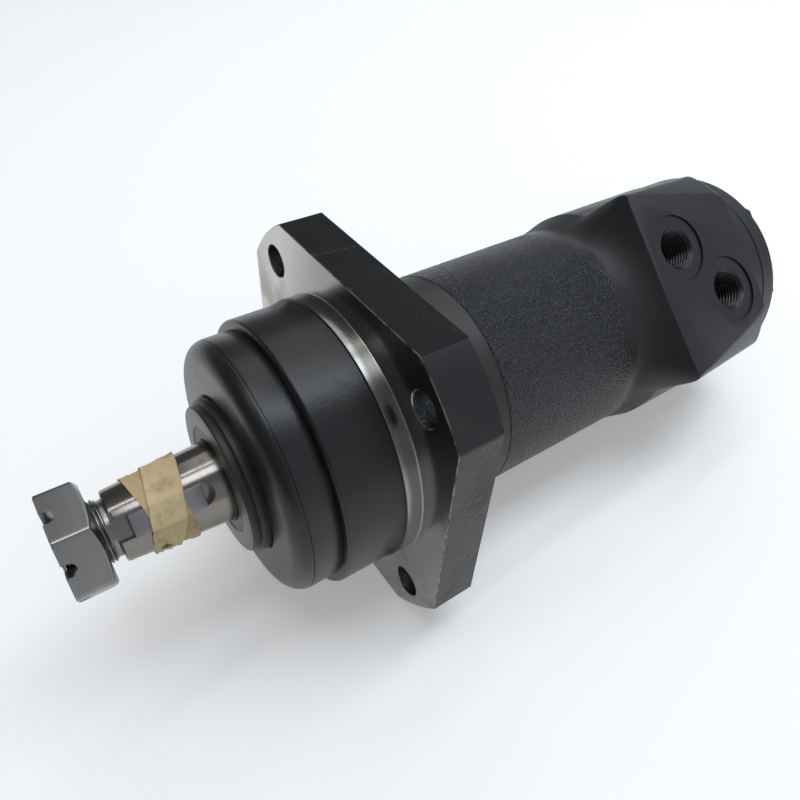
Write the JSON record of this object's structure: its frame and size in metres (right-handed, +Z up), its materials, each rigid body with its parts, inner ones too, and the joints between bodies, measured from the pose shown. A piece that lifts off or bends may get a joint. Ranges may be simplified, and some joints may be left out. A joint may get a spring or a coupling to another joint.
{
  "type": "orbital hydraulic motor",
  "caption": "Orbital hydraulic wheel motor with a square flange, a turned pilot, a keyed tapered shaft with a slotted nut, and side ports at the rear.",
  "frame": {"origin": "centre of the pilot and of the bolt circle, on the flange's mounting face", "axes": "+X along the shaft's axis towards the rear of the motor, so that the shaft's free end points to -X; +Z up, square to a flat of the flange"},
  "size_m": [0.3816, 0.1554, 0.1556],
  "materials": {
    "housing_paint": "black paint over a rough casting, bare and machined on the pilot and the flange face",
    "cap_paint": "satin black paint over turned steel, on the cap, the rear stack and its screws",
    "machined_steel": "turned and ground steel, satin",
    "seal_case_steel": "pressed steel, dull grey",
    "hardened_steel": "ground and hardened steel, oiled",
    "cage_steel": "pressed steel",
    "seal_rubber": "black nitrile rubber",
    "tape": "creped beige masking tape",
    "zinc_plate": "zinc plated steel",
    "copper_washer": "soft copper, dull"
  },
  "bodies": {
    "casing": {"housing": "housing_paint", "front_cap": "cap_paint", "cap_o_ring": "seal_rubber", "preload_shim": "hardened_steel", "dust_seal_case": "seal_case_steel", "dust_seal_lip": "seal_rubber", "shaft_seal": "seal_rubber", "seal_spring": "machined_steel", "seal_backup_ring": "machined_steel", "front_bearing_cup": "hardened_steel", "rear_bearing_cup": "hardened_steel", "spacer_plate": "hardened_steel", "gear_ring": "hardened_steel", "end_cover": "cap_paint", "cover_screws": "cap_paint", "screw_washers": "cap_paint", "housing_seal_ring": "seal_rubber", "plate_seal_ring": "seal_rubber", "cover_seal_ring": "seal_rubber", "locating_pins": "hardened_steel", "drain_plug": "zinc_plate", "drain_washer": "copper_washer"},
    "shaft": {"output_shaft": "machined_steel", "shaft_key": "hardened_steel", "castle_nut": "machined_steel", "masking_tape": "tape", "front_bearing_cone": "hardened_steel", "rear_bearing_cone": "hardened_steel"},
    "front_cage": {"front_bearing_cage": "cage_steel", "front_bearing_rollers": "hardened_steel"},
    "rear_cage": {"rear_bearing_cage": "cage_steel", "rear_bearing_rollers": "hardened_steel"},
    "orbit": {"drive_spacer": "hardened_steel"},
    "rotor": {"gear_rotor": "hardened_steel"},
    "link": {"drive_link": "hardened_steel"}
  },
  "joints": [
    {"name": "shaft_turn", "type": "hinge", "parent": "casing", "child": "shaft", "pos_m": [0, 0, 0], "axis": [1, 0, 0], "continuous": true},
    {"name": "front_cage_run", "type": "hinge", "parent": "casing", "child": "front_cage", "pos_m": [-0.019, 0, 0], "axis": [1, 0, 0], "continuous": true},
    {"name": "rear_cage_run", "type": "hinge", "parent": "casing", "child": "rear_cage", "pos_m": [0.017, 0, 0], "axis": [1, 0, 0], "continuous": true},
    {"name": "orbit_run", "type": "hinge", "parent": "casing", "child": "orbit", "pos_m": [0.231, 0, 0], "axis": [1, 0, 0], "continuous": true},
    {"name": "rotor_spin", "type": "hinge", "parent": "orbit", "child": "rotor", "pos_m": [0.231, 0.00346, 0.00055], "axis": [1, 0, 0], "continuous": true},
    {"name": "link_spin", "type": "hinge", "parent": "orbit", "child": "link", "pos_m": [0.155, 0, 0], "axis": [0.9989, 0.0467, 0.0074], "continuous": true}
  ],
  "couplings": [
    {"joint": "front_cage_run", "follows": "shaft_turn", "ratio": 0.425},
    {"joint": "rear_cage_run", "follows": "shaft_turn", "ratio": 0.425},
    {"joint": "orbit_run", "follows": "shaft_turn", "ratio": -6},
    {"joint": "rotor_spin", "follows": "shaft_turn", "ratio": 7},
    {"joint": "link_spin", "follows": "shaft_turn", "ratio": 7}
  ]
}
